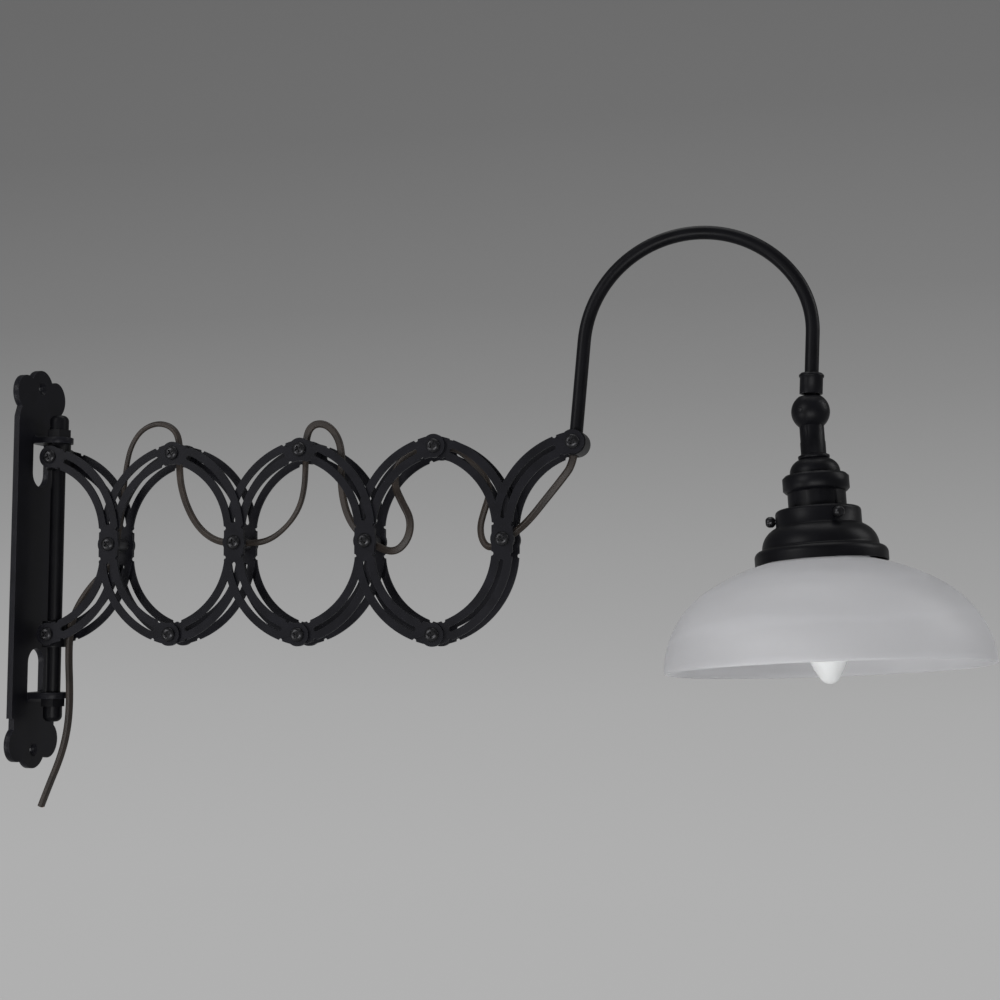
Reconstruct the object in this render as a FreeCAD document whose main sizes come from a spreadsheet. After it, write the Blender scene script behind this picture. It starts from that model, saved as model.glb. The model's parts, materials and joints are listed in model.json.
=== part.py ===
import FreeCAD, Part
import math
import os
import Sketcher

# Accordion wall lamp. Millimetres. X points out of the wall, Z up, and the lamp is seen
# from -Y. The origin is on the wall, at the middle of the plate's two screw holes.

V = FreeCAD.Vector
X_AXIS = V(1, 0, 0)
Y_AXIS = V(0, 1, 0)
Z_AXIS = V(0, 0, 1)
UPRIGHT = FreeCAD.Rotation()

doc = FreeCAD.newDocument("accordion_wall_lamp")
sheet = doc.addObject("Spreadsheet::Sheet", "Sizes")

DRIVING = [
    # wall plate
    ("plate_thickness", 5.0), ("plate_width", 70.0), ("shoulder_height", 126.5),
    ("shoulder_rise", 9.0), ("neck_width", 63.0), ("lobe_height", 148.0),
    ("side_lobe_radius", 15.0), ("side_lobe_offset", 23.0), ("tip_lobe_radius", 18.2),
    ("tip_lobe_height", 151.9), ("screw_spacing", 309.0), ("screw_hole", 6.0),
    ("screw_sink", 11.5), ("lug_width", 24.0), ("lug_height", 106.0), ("slot_length", 37.0),
    ("slot_margin", 0.15), ("lug_bend", 4.0),
    # post that the arm swings on
    ("post_standoff", 17.0), ("post_diameter", 12.0), ("nut_across", 19.0), ("nut_height", 6.5),
    ("nut_cap_diameter", 15.7), ("nut_cap_height", 13.0), ("nut_cap_round", 5.0),
    ("nut_thread_depth", 16.0), ("sleeve_diameter", 20.0), ("sleeve_half_height", 11.0),
    ("barrel_diameter", 19.0), ("pivot_below_lug", 12.5), ("block_foot", 10.0),
    # scissor links
    ("half_pitch", 56.45), ("half_height", 75.15), ("end_turn", 80.0), ("link_width", 17.0),
    ("rail_gap", 4.0), ("gap_from_middle", 16.0), ("gap_from_end", 14.0), ("boss_diameter", 19.0),
    ("sheet_thickness", 2.0), ("notch_radius", 1.7), ("notch_distance", 12.0),
    ("spacer_length", 22.0), ("spacer_diameter", 11.4),
    ("cord_hole", 6.6), ("thread_diameter", 5.0), ("thread_depth", 6.0), ("thread_reach", 5.0),
    ("screw_head", 11.2), ("screw_head_height", 2.8), ("recess_width", 1.2),
    ("recess_length", 5.6), ("recess_depth", 1.5),
    # running clearances
    ("side_play", 0.1), ("pin_play", 0.1), ("slide_play", 0.06),
    # gooseneck
    ("tube_diameter", 10.6), ("tube_wall", 1.0), ("hub_diameter", 20.4), ("socket_depth", 7.0),
    ("neck_leg", 81.2), ("bend_radius", 90.3), ("bend_angle", 141.3),
    ("end_bend_radius", 72.0), ("end_bend_angle", 35.9), ("drop_leg", 41.5),
    ("ball_drop", 60.7), ("neck_lean", 5.3),
    # ball joint
    ("ball_diameter", 29.0), ("ball_wall", 2.7), ("ball_opening", 17.2),
    ("ball_seat_height", 11.2), ("ball_pin", 3.0), ("collar_diameter", 17.4),
    ("collar_bottom", 13.7), ("collar_web", 16.6), ("collar_seat", 19.0), ("collar_top", 29.6),
    ("bead_diameter", 18.9), ("bead_height", 3.7), ("bead_slope", 0.8), ("bead_chamfer", 1.5),
    ("collar_wall", 1.4), ("stem_diameter", 6.8), ("pin_inset", 0.6),
    ("eye_diameter", 10.0), ("eye_width", 7.0), ("wire_bore", 4.4),
    # head, measured along its own axis from the ball's centre
    ("head_lean", 3.2), ("head_tilt", 3.4), ("neck_diameter", 18.4), ("neck_seam", 23.4),
    ("sleeve_step", 0.3), ("neck_end", 36.9), ("neck_bead", 23.6), ("neck_bead_height", 4.0),
    ("neck_bead_slope", 1.3), ("neck_bead_chamfer", 1.0), ("holder_bore", 6.4),
    ("cap_mouth", 37.6), ("cap_top_diameter", 22.8), ("cap_foot", 47.0), ("cap_round", 11.0),
    ("holder_wall", 1.4), ("cap_end", 58.0), ("ring_diameter", 49.6), ("ring_top", 49.0),
    ("ring_end", 62.1), ("ring_bevel", 2.0), ("shell_diameter", 43.3), ("shell_top", 51.3),
    ("shell_step", 74.2), ("shell_neck", 39.6), ("shell_end", 86.8), ("core_top", 53.0),
    ("core_floor", 60.5), ("core_end", 84.0), ("socket_bore", 28.2), ("socket_wall", 0.7),
    ("contact_thickness", 1.3), ("contact_radius", 4.0), ("holder_play", 0.1),
    # gallery that grips the shade
    ("gallery_diameter", 63.6), ("gallery_top", 74.3), ("gallery_crown", 0.6),
    ("gallery_round", 3.0), ("gallery_foot", 87.2), ("gallery_step", 1.2),
    ("gallery_wall", 1.2), ("shoulder_diameter", 86.6), ("shoulder_end", 104.0),
    ("shoulder_round", 18.0), ("shoulder_step", 0.9), ("skirt_diameter", 98.6),
    ("skirt_round", 5.5), ("skirt_drop", 6.2), ("skirt_end", 116.0),
    ("gallery_nut_diameter", 48.0), ("gallery_nut_height", 3.0), ("gallery_nut_gap", 0.3),
    ("thumb_height", 82.0), ("thumb_thread", 4.0), ("thumb_knob", 8.3), ("thumb_knob_length", 7.0),
    ("thumb_first", 176.0), ("thumb_gap", 0.15), ("thumb_reach", 0.5),
    # glass shade, which hangs a little askew in its gallery
    ("glass_lean", 2.6), ("glass_tilt", 4.3),
    ("shade_radius", 120.7), ("shade_rise", 86.5), ("widest_level", 196.7),
    ("rim_level", 194.0), ("rim_curve", 72.7), ("glass_wall", 3.5), ("glass_neck", 57.0),
    ("glass_neck_top", 76.9), ("glass_lip", 59.4), ("glass_lip_height", 2.0),
    ("flare_top", 101.0), ("flare_radius", 44.0), ("flare_round", 17.0),
    # bulb
    ("bulb_cap_diameter", 26.4), ("bulb_tip_contact", 62.0), ("bulb_cap_end", 87.5),
    ("bulb_button", 5.0), ("button_height", 1.5), ("cap_slope", 1.0),
    ("bulb_throat", 25.2), ("bulb_diameter", 38.0), ("bulb_wide_level", 152.0),
    ("bulb_swell", 330.0), ("bulb_taper", 70.0), ("bulb_tip_radius", 8.5),
    ("bulb_shoulder_radius", 8.0), ("bulb_length_end", 205.7), ("bulb_glass", 1.0),
    ("mount_diameter", 5.0), ("mount_flare", 16.0), ("mount_shoulder", 108.0),
    ("mount_end", 122.0),
    # cord
    ("cord_diameter", 5.6), ("cord_reach", 13.0), ("lead_strip", 3.0),
]

for row, (alias, number) in enumerate(DRIVING, start=1):
    sheet.set("A%d" % row, alias)
    sheet.set("B%d" % row, repr(number))
    sheet.setAlias("B%d" % row, alias)
doc.recompute()


class Size:
    """A length or angle, with the spreadsheet formula that gives it."""

    def __init__(self, number, formula=None):
        self.number = float(number)
        self.formula = formula if formula else repr(self.number)

    def joined(self, other, sign, number):
        return Size(number, "(%s %s %s)" % (self.formula, sign, other.formula))

    def __add__(self, other):
        other = as_size(other)
        return self.joined(other, "+", self.number + other.number)

    def __sub__(self, other):
        other = as_size(other)
        return self.joined(other, "-", self.number - other.number)

    def __rsub__(self, other):
        return as_size(other) - self

    def __mul__(self, other):
        other = as_size(other)
        return self.joined(other, "*", self.number * other.number)

    def __truediv__(self, other):
        other = as_size(other)
        return self.joined(other, "/", self.number / other.number)

    def __rtruediv__(self, other):
        return as_size(other) / self

    def __neg__(self):
        return self * -1

    __radd__ = __add__
    __rmul__ = __mul__

    def __float__(self):
        return self.number


def as_size(value):
    return value if isinstance(value, Size) else Size(value)


def cosine(angle):
    return Size(math.cos(math.radians(angle.number)), "cos(%s * 1 deg)" % angle.formula)


def sine(angle):
    return Size(math.sin(math.radians(angle.number)), "sin(%s * 1 deg)" % angle.formula)


class Sheet:
    """The driving dimensions by name."""


S = Sheet()
for alias, number in DRIVING:
    setattr(S, alias, Size(sheet.get(alias), "Sizes." + alias))

nodes = []


def node(name, shape_object):
    """Makes an object one of the lamp's pieces, under its own name."""
    shape_object.Label = name
    nodes.append(shape_object)
    return shape_object


def bind(target, **sizes):
    for prop, value in sizes.items():
        value = as_size(value)
        setattr(target, prop, value.number)
        target.setExpression(prop, value.formula)
    return target


def place(target, base, rotation=UPRIGHT):
    target.Placement = FreeCAD.Placement(V(*[float(v) for v in base]), rotation)
    return target


def turn_to(direction):
    return FreeCAD.Rotation(Z_AXIS, V(*direction))


def bar(name, radius, length, base, direction=(0, 0, 1)):
    """Round bar from base along direction."""
    cylinder = doc.addObject("Part::Cylinder", name)
    bind(cylinder, Radius=radius, Height=length)
    return place(cylinder, base, turn_to(direction))


def block(name, length, width, height, corner):
    box = doc.addObject("Part::Box", name)
    bind(box, Length=length, Width=width, Height=height)
    return place(box, corner)


def fuse(name, shapes):
    joined = doc.addObject("Part::MultiFuse", name)
    joined.Shapes = shapes
    joined.Refine = True
    return joined


def cut(name, base, tools):
    tool = tools[0] if len(tools) == 1 else fuse(name + "_tools", tools)
    result = doc.addObject("Part::Cut", name)
    result.Base = base
    result.Tool = tool
    return result


def copy_of(name, master, placement):
    """One more piece of the same pattern as master."""
    piece = doc.addObject("Part::Compound", name)
    piece.Links = [master]
    piece.Placement = placement
    return piece


def group(name, pieces):
    """Identical fasteners that share one node."""
    bundle = doc.addObject("Part::Compound", name)
    bundle.Links = pieces
    return node(name, bundle)


def arc_centre(start, end, radius, side):
    """Centre of the arc from start to end; side +1 has it on the left of that way."""
    (x0, y0), (x1, y1) = start, end
    chord = math.hypot(x1 - x0, y1 - y0)
    rise = math.sqrt(max(radius * radius - chord * chord / 4, 0.0))
    return ((x0 + x1) / 2 - side * rise * (y1 - y0) / chord,
            (y0 + y1) / 2 + side * rise * (x1 - x0) / chord)


def profile(body, name, outline):
    """Closed sketch of (radius, level) corners; a corner may end an arc of (radius, side)."""
    sketch = body.newObject("Sketcher::SketchObject", name + "_profile")
    plane = [item for item in body.Origin.OriginFeatures if item.Role == "XZ_Plane"][0]
    sketch.AttachmentSupport = (plane, "")
    sketch.MapMode = "FlatFace"
    spots = [(as_size(corner[0]), as_size(corner[1])) for corner in outline]
    count = len(spots)
    starts = []
    for index in range(count):
        start = (spots[index - 1][0].number, spots[index - 1][1].number)
        end = (spots[index][0].number, spots[index][1].number)
        if len(outline[index]) == 2:
            sketch.addGeometry(Part.LineSegment(V(*start, 0), V(*end, 0)), False)
            starts.append((1, 2))
            continue
        radius, side = outline[index][2:]
        cx, cy = arc_centre(start, end, as_size(radius).number, side)
        begin = math.atan2(start[1] - cy, start[0] - cx)
        finish = math.atan2(end[1] - cy, end[0] - cx)
        if side < 0:
            begin, finish = finish, begin
        circle = Part.Circle(V(cx, cy, 0), Z_AXIS, as_size(radius).number)
        sketch.addGeometry(Part.ArcOfCircle(circle, begin, finish), False)
        starts.append((1, 2) if side > 0 else (2, 1))
    for index in range(count):
        following = (index + 1) % count
        sketch.addConstraint(Sketcher.Constraint(
            "Coincident", index, starts[index][1], following, starts[following][0]))
        across, along = spots[index]
        for kind, axis, value in (("DistanceX", -2, across), ("DistanceY", -1, along)):
            if abs(value.number) < 1e-9:
                sketch.addConstraint(Sketcher.Constraint(
                    "PointOnObject", index, starts[index][1], axis))
                continue
            number = sketch.addConstraint(Sketcher.Constraint(
                kind, -1, 1, index, starts[index][1], value.number))
            sketch.setExpression("Constraints[%d]" % number, value.formula)
        if len(outline[index]) > 2:
            radius = as_size(outline[index][2])
            number = sketch.addConstraint(Sketcher.Constraint("Radius", index, radius.number))
            sketch.setExpression("Constraints[%d]" % number, radius.formula)
    return sketch


def turned(name, outline):
    """Solid of revolution about its local Z axis."""
    body = doc.addObject("PartDesign::Body", name)
    sketch = profile(body, name, outline)
    turning = body.newObject("PartDesign::Revolution", name + "_turning")
    turning.Profile = sketch
    turning.ReferenceAxis = (sketch, ["V_Axis"])
    turning.Angle = 360.0
    body.Tip = turning
    return body


# ---- places that several pieces share ----

post_x = S.plate_thickness + S.post_standoff
top_pivot_height = S.lug_height - S.pivot_below_lug
PIVOT_TOP = float(top_pivot_height)
PITCH = float(S.half_pitch)
DROP = float(S.half_height)


def top_pivot(index):
    return float(post_x) + 2 * index * PITCH, PIVOT_TOP


def middle_pivot(index):
    return float(post_x) + (2 * index + 1) * PITCH, PIVOT_TOP - DROP


def bottom_pivot(index):
    return float(post_x) + 2 * index * PITCH, PIVOT_TOP - 2 * DROP


# Each side of the arm is a stack of sheets outward from the spacers.
stack_inner = S.spacer_length / 2 + S.side_play
stack_outer = stack_inner + S.sheet_thickness + S.side_play
stack_core = stack_inner - S.side_play - S.sheet_thickness


# ---- wall plate ----

def wall_plate():
    """Steel plate with a trefoil at each end and two lugs bent out of its slots."""
    thick = S.plate_thickness
    half = S.plate_width / 2
    pieces = [block("plate_body", thick, S.plate_width, S.shoulder_height * 2,
                    (0, -half, -S.shoulder_height))]
    openings = []
    for sign, end in ((1, "top"), (-1, "bottom")):
        shoulder = doc.addObject("Part::Wedge", "shoulder_" + end)
        bind(shoulder, Xmin=-half, Xmax=half, X2min=S.neck_width * -0.5,
             X2max=S.neck_width * 0.5, Ymin=0, Ymax=S.shoulder_rise,
             Zmin=0, Zmax=thick, Z2min=0, Z2max=thick)
        spin = FreeCAD.Rotation(V(0, sign, 0), V(0, 0, 1), V(1, 0, 0), "YZX")
        place(shoulder, (0, 0, S.shoulder_height * sign), spin)
        reach = S.lobe_height - S.shoulder_height
        low = S.shoulder_height if sign > 0 else S.lobe_height * -1
        pieces += [
            shoulder,
            block("neck_" + end, thick, S.neck_width, reach, (0, S.neck_width * -0.5, low)),
            bar("tip_lobe_" + end, S.tip_lobe_radius, thick,
                (0, 0, S.tip_lobe_height * sign), X_AXIS),
            bar("left_lobe_" + end, S.side_lobe_radius, thick,
                (0, S.side_lobe_offset * -1, S.lobe_height * sign), X_AXIS),
            bar("right_lobe_" + end, S.side_lobe_radius, thick,
                (0, S.side_lobe_offset, S.lobe_height * sign), X_AXIS)]
        lug_low = S.lug_height if sign > 0 else S.lug_height * -1 - thick
        pieces += [
            block("lug_" + end, post_x, S.lug_width, thick, (0, S.lug_width * -0.5, lug_low)),
            bar("lug_nose_" + end, S.lug_width / 2, thick, (post_x, 0, lug_low))]
        bend_low = S.lug_height + thick if sign > 0 else S.lug_height * -1 - thick - S.lug_bend
        bend = block("bend_block_" + end, S.lug_bend, S.lug_width, S.lug_bend,
                     (thick, S.lug_width * -0.5, bend_low))
        curve_level = S.lug_height + thick + S.lug_bend
        curve = bar("bend_curve_" + end, S.lug_bend, S.lug_width,
                    (thick + S.lug_bend, S.lug_width * -0.5, curve_level * sign), Y_AXIS)
        pieces.append(cut("bend_" + end, bend, [curve]))
        slot_half = S.lug_width / 2 + S.slot_margin
        arch = S.slot_length - slot_half
        slot_low = S.lug_height - arch if sign > 0 else S.lug_height * -1
        openings += [
            block("slot_" + end, thick, slot_half * 2, arch, (0, slot_half * -1, slot_low)),
            bar("slot_arch_" + end, slot_half, thick,
                (0, 0, (S.lug_height - arch) * sign), X_AXIS),
            bar("post_hole_" + end, S.post_diameter / 2 + S.slide_play, thick,
                (post_x, 0, lug_low)),
            bar("screw_hole_" + end, S.screw_hole / 2, thick,
                (0, 0, S.screw_spacing / 2 * sign), X_AXIS)]
        sink = doc.addObject("Part::Cone", "screw_sink_" + end)
        depth = (S.screw_sink - S.screw_hole) / 2
        bind(sink, Radius1=S.screw_hole / 2, Radius2=S.screw_sink / 2, Height=depth)
        place(sink, (thick - depth, 0, S.screw_spacing / 2 * sign), turn_to(X_AXIS))
        openings.append(sink)
    whole = fuse("plate_blank", pieces)
    node("wall_plate", cut("wall_plate", whole, openings))


# ---- post and what turns with it ----

def cap_nut(name):
    """Domed hexagon nut, standing on its flat at z = 0."""
    hexagon = doc.addObject("Part::Prism", name + "_hexagon")
    hexagon.Polygon = 6
    bind(hexagon, Circumradius=S.nut_across / cosine(Size(30)) / 2, Height=S.nut_height)
    radius = S.nut_cap_diameter / 2
    top = S.nut_height + S.nut_cap_height
    dome = turned(name + "_cap", [
        (0, 0), (radius, 0), (radius, top - S.nut_cap_round),
        (radius - S.nut_cap_round, top, S.nut_cap_round, 1), (0, top)])
    whole = fuse(name + "_blank", [hexagon, dome])
    bore = bar(name + "_bore", S.post_diameter / 2, S.nut_thread_depth, (0, 0, 0))
    return cut(name, whole, [bore])


def post():
    outer_face = S.lug_height + S.plate_thickness + S.side_play
    length = (outer_face + S.nut_thread_depth) * 2
    node("pivot_post", bar("pivot_post", S.post_diameter / 2, length,
                           (post_x, 0, length / -2)))
    pattern = cap_nut("cap_nut_pattern")
    upper = FreeCAD.Placement(V(float(post_x), 0, float(outer_face)), UPRIGHT)
    lower = FreeCAD.Placement(V(float(post_x), 0, -float(outer_face)),
                              FreeCAD.Rotation(X_AXIS, 180))
    group("cap_nuts", [copy_of("cap_nut_upper", pattern, upper),
                       copy_of("cap_nut_lower", pattern, lower)])


def cross_barrel(name, level, half_length, diameter, uprights, bores):
    """Round barrel across the arm, tapped at both ends for the pivot screws."""
    barrel = bar(name + "_barrel", diameter / 2, half_length * 2,
                 (level[0], -float(half_length), level[1]), Y_AXIS)
    taps = []
    for sign in (-1, 1):
        taps.append(bar("%s_tap_%d" % (name, sign + 1), S.thread_diameter / 2, S.thread_depth,
                        (level[0], sign * float(half_length), level[1]), (0, -sign, 0)))
    blank = fuse(name + "_blank", [barrel] + uprights) if uprights else barrel
    return cut(name, blank, taps + bores)


def pivot_block():
    """Block pressed on the post, carrying the arm's upper pivot."""
    top = S.lug_height - S.side_play
    height = top - top_pivot_height + S.block_foot
    base = top - height
    sleeve = bar("block_sleeve", S.sleeve_diameter / 2, height, (post_x, 0, base))
    bore = bar("block_bore", S.post_diameter / 2, height, (post_x, 0, base))
    half = stack_outer - S.side_play
    node("pivot_block", cross_barrel("pivot_block", top_pivot(0), half, S.barrel_diameter,
                                     [sleeve], [bore]))


def slide_block():
    """Block that slides on the post with the arm's lower pivot."""
    x, z = bottom_pivot(0)
    low = z - float(S.sleeve_half_height)
    sleeve = bar("slide_sleeve", S.sleeve_diameter / 2, S.sleeve_half_height * 2, (x, 0, low))
    bore = bar("slide_bore", S.post_diameter / 2 + S.slide_play, S.sleeve_half_height * 2,
               (x, 0, low))
    node("slide_block", cross_barrel("slide_block", (x, z), S.spacer_length / 2,
                                     S.barrel_diameter, [sleeve], [bore]))


# ---- scissor links, spacers and pivot screws ----

arc_radius = S.half_pitch / (Size(1) - cosine(S.end_turn))
straight_run = S.half_height - arc_radius * sine(S.end_turn)


def along_link(distance):
    """Point, and the way to the outer edge, at a distance from the link's middle pivot."""
    radius, run = float(arc_radius), float(straight_run)
    turn = max(distance - run, 0.0) / radius
    centre = (radius * (1 - math.cos(turn)), min(distance, run) + radius * math.sin(turn))
    return centre, (-math.cos(turn), math.sin(turn))


def ring_sector(name, offset, start, sweep):
    """Curved strip of half width offset about the link's arc, from start over sweep."""
    outer = doc.addObject("Part::Cylinder", name + "_outer")
    bind(outer, Radius=arc_radius + offset, Height=S.sheet_thickness, Angle=sweep)
    place(outer, (arc_radius, straight_run, 0), FreeCAD.Rotation(Z_AXIS, float(start)))
    inner = bar(name + "_inner", arc_radius - offset, S.sheet_thickness,
                (arc_radius, straight_run, 0))
    return cut(name, outer, [inner])


def half_blank(name):
    """Upper half of a link, in its own XY plane with the middle pivot at the origin."""
    half = S.link_width / 2
    strip = ring_sector(name + "_strip", half, 180 - float(S.end_turn), S.end_turn)
    run = block(name + "_run", S.link_width, straight_run, S.sheet_thickness, (-half, 0, 0))
    boss = S.boss_diameter / 2
    middle = bar(name + "_middle", boss, S.sheet_thickness, (0, 0, 0))
    end = bar(name + "_end", boss, S.sheet_thickness, (S.half_pitch, S.half_height, 0))
    return [strip, run, middle, end]


def half_openings(name):
    """Rail gap, pivot holes and the small notches beside the bosses."""
    path = straight_run + arc_radius * S.end_turn * (math.pi / 180)
    cap = S.rail_gap / 2
    first = S.gap_from_middle + cap
    last = path - S.gap_from_end - cap
    degrees = Size(180 / math.pi)
    first_angle = (first - straight_run) / arc_radius * degrees
    sweep = (last - first) / arc_radius * degrees
    start = 180 - float(first_angle) - float(sweep)
    tools = [ring_sector(name + "_gap", cap, start, sweep)]
    for tag, spot in (("low", first), ("high", last)):
        centre = along_link(float(spot))[0]
        tools.append(bar("%s_gap_%s" % (name, tag), cap, S.sheet_thickness, (*centre, 0)))
    hole = S.thread_diameter / 2 + S.pin_play
    tools.append(bar(name + "_hole", hole, S.sheet_thickness, (S.half_pitch, S.half_height, 0)))
    notch_spots = [float(S.notch_distance), float(path - S.notch_distance)]
    for number, spot in enumerate(notch_spots):
        centre, outward = along_link(spot)
        for side in (-1, 1):
            shift = side * float(S.link_width) / 2
            at = (centre[0] + outward[0] * shift, centre[1] + outward[1] * shift, 0)
            tools.append(bar("%s_notch_%d_%d" % (name, number, side + 1), S.notch_radius,
                             S.sheet_thickness, at))
    return tools


def half_turned(shapes):
    """The same shapes turned half round the middle pivot."""
    spin = FreeCAD.Placement(V(0, 0, 0), FreeCAD.Rotation(Z_AXIS, 180))
    return [copy_of(shape.Name + "_turned", shape, spin) for shape in shapes]


def link_patterns():
    blank = half_blank("half")
    openings = half_openings("half")
    hole = bar("middle_hole", S.thread_diameter / 2 + S.pin_play, S.sheet_thickness, (0, 0, 0))
    lower_blank = half_turned(blank)
    lower_openings = half_turned(openings)
    full = cut("full_link_pattern", fuse("full_link_blank", blank + lower_blank),
               openings + lower_openings + [hole])
    half = cut("half_link_pattern", fuse("half_link_blank", blank), openings + [hole])
    return full, half


LEAN_RIGHT = FreeCAD.Rotation(X_AXIS, 90)
LEAN_LEFT = FreeCAD.Rotation(Z_AXIS, 180).multiply(LEAN_RIGHT)


def link_pair(name, pattern, pivot, rotation, level):
    """Front and rear sheets of one link, level being the inner face of each."""
    thick = float(S.sheet_thickness)
    outward = rotation.multVec(Z_AXIS).y
    for tag, sign in (("front", -1), ("rear", 1)):
        inner = sign * float(level)
        outer = sign * (float(level) + thick)
        base = min(inner, outer) if outward > 0 else max(inner, outer)
        piece = copy_of("%s_%s" % (name, tag), pattern,
                        FreeCAD.Placement(V(pivot[0], base, pivot[1]), rotation))
        node("%s_%s" % (name, tag), piece)


def spacer_pattern(name, half_length):
    """Round spacer, tapped at its ends and cross drilled for the cord."""
    rod = bar(name + "_rod", S.spacer_diameter / 2, half_length * 2, (0, 0, half_length * -1))
    depth = half_length - S.spacer_length / 2 + S.thread_depth
    taps = [bar("%s_tap_%d" % (name, sign + 1), S.thread_diameter / 2, depth,
                (0, 0, half_length * sign), (0, 0, -sign)) for sign in (-1, 1)]
    width = S.spacer_diameter
    hole = bar(name + "_hole", S.cord_hole / 2, width, (width / -2, 0, 0), X_AXIS)
    return cut(name, rod, taps + [hole])


def pan_screw(name, grip):
    """Pan-head screw along local Z, tip at z = 0, for sheets grip thick."""
    shank = S.thread_reach + grip
    head = S.screw_head / 2
    top = shank + S.screw_head_height
    blank = turned(name + "_blank", [
        (0, 0), (S.thread_diameter / 2, 0), (S.thread_diameter / 2, shank), (head, shank),
        (head, shank + S.screw_head_height * 0.4),
        (head * 0.45, top, S.screw_head_height * 1.6, 1), (0, top)])
    recess = []
    for tag, length, width in (("a", S.recess_length, S.recess_width),
                               ("b", S.recess_width, S.recess_length)):
        recess.append(block("%s_recess_%s" % (name, tag), length, width, S.recess_depth,
                            (length / -2, width / -2, top - S.recess_depth)))
    return cut(name, blank, recess), float(shank)


def screw_copies(name, pattern, shank, pivot, seat, twist):
    """A screw on each side of one pivot; seat is where the heads bear."""
    copies = []
    for tag, sign in (("front", -1), ("rear", 1)):
        aim = FreeCAD.Rotation(Z_AXIS, V(0, sign, 0))
        spin = aim.multiply(FreeCAD.Rotation(Z_AXIS, twist))
        base = V(pivot[0], sign * (float(seat) - shank), pivot[1])
        copies.append(copy_of("%s_%s" % (name, tag), pattern, FreeCAD.Placement(base, spin)))
    return copies


# Way the cord leaves each cross-drilled spacer, in degrees from +X towards +Z.
CORD_WAY = {"m3": 215.0, "t3": 180.0, "m2": 145.6, "t2": 270.0, "m1": 180.0, "t1": 90.0,
            "m0": 263.0, "b1": 0.0, "b2": 0.0, "b3": 0.0}
SCREW_TWIST = {"t0": 20, "m0": 50, "t1": 35, "b1": 75, "m1": 10, "t2": 25, "b2": 60, "m2": 40,
               "t3": 55, "b3": 5, "m3": 30, "t4": 65, "b0": 45}


def scissor():
    full, half = link_patterns()
    long_spacer = spacer_pattern("long_spacer", S.spacer_length / 2)
    short_spacer = spacer_pattern("short_spacer", stack_core - S.side_play)
    two_sheets = S.sheet_thickness * 2 + S.side_play * 3
    screw_two, shank_two = pan_screw("screw_two_sheets", two_sheets)
    screw_one, shank_one = pan_screw("screw_one_sheet", two_sheets - S.sheet_thickness
                                     - S.side_play)
    outer_seat = stack_outer + S.sheet_thickness + S.side_play
    inner_seat = stack_inner + S.sheet_thickness + S.side_play

    for index in range(4):
        link_pair("link_c%d" % index, full, middle_pivot(index), LEAN_RIGHT, stack_inner)
        if index < 3:
            link_pair("link_a%d" % index, full, middle_pivot(index), LEAN_LEFT, stack_outer)
    link_pair("link_a3", half, middle_pivot(3), LEAN_LEFT, stack_core)

    carried = {0: ("m0", "b1"), 1: ("t1", "m1", "b2"), 2: ("t2", "m2", "b3"), 3: ("t3", "m3")}
    finder = {"t": top_pivot, "m": middle_pivot, "b": bottom_pivot}
    for index, pivots in carried.items():
        spacers, screws = [], []
        core = index == 3
        spacer = short_spacer if core else long_spacer
        for tag in pivots:
            x, z = finder[tag[0]](int(tag[1]))
            across = FreeCAD.Rotation(X_AXIS, 90)
            spin = FreeCAD.Rotation(Y_AXIS, -CORD_WAY[tag]).multiply(across)
            spacers.append(copy_of("spacer_" + tag, spacer,
                                   FreeCAD.Placement(V(x, 0, z), spin)))
            pattern, shank = (screw_one, shank_one) if core else (screw_two, shank_two)
            seat = inner_seat if core else outer_seat
            screws += screw_copies("screw_" + tag, pattern, shank, (x, z), seat,
                                   SCREW_TWIST[tag])
        group("link_a%d_spacers" % index, spacers)
        group("link_a%d_screws" % index, screws)

    group("pivot_block_screws", screw_copies("screw_t0", screw_one, shank_one, top_pivot(0),
                                             outer_seat, SCREW_TWIST["t0"]))
    group("slide_block_screws", screw_copies("screw_b0", screw_one, shank_one,
                                             bottom_pivot(0), inner_seat, SCREW_TWIST["b0"]))
    group("tube_hub_screws", screw_copies("screw_t4", screw_one, shank_one, top_pivot(4),
                                          inner_seat, SCREW_TWIST["t4"]))


# ---- gooseneck ----

HUB_X, HUB_Z = top_pivot(4)
NECK_SPIN = FreeCAD.Rotation(Y_AXIS, float(S.neck_lean))


def on_neck(x, z):
    """Point of the gooseneck's own plane, where its first leg is upright."""
    return V(HUB_X, 0, HUB_Z) + NECK_SPIN.multVec(V(float(x), 0, float(z)))


def from_bend(turn, length):
    """Step outward from a bend's centre, where the tube has turned so far."""
    angle = math.radians(float(turn))
    return -math.cos(angle) * float(length), math.sin(angle) * float(length)


# The bend is an arc with a tighter arc at its end, so their centres share one radius.
whole_turn = S.bend_angle + S.end_bend_angle
bend_centre = (float(S.bend_radius), float(S.neck_leg))
step_x, step_z = from_bend(S.bend_angle, S.bend_radius - S.end_bend_radius)
end_bend_centre = (bend_centre[0] + step_x, bend_centre[1] + step_z)
step_x, step_z = from_bend(whole_turn, S.end_bend_radius)
bend_end = on_neck(end_bend_centre[0] + step_x, end_bend_centre[1] + step_z)
drop_way = NECK_SPIN.multVec(V(math.sin(math.radians(float(whole_turn))), 0,
                               math.cos(math.radians(float(whole_turn)))))
BALL_CENTRE = bend_end + drop_way * float(S.ball_drop)


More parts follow.
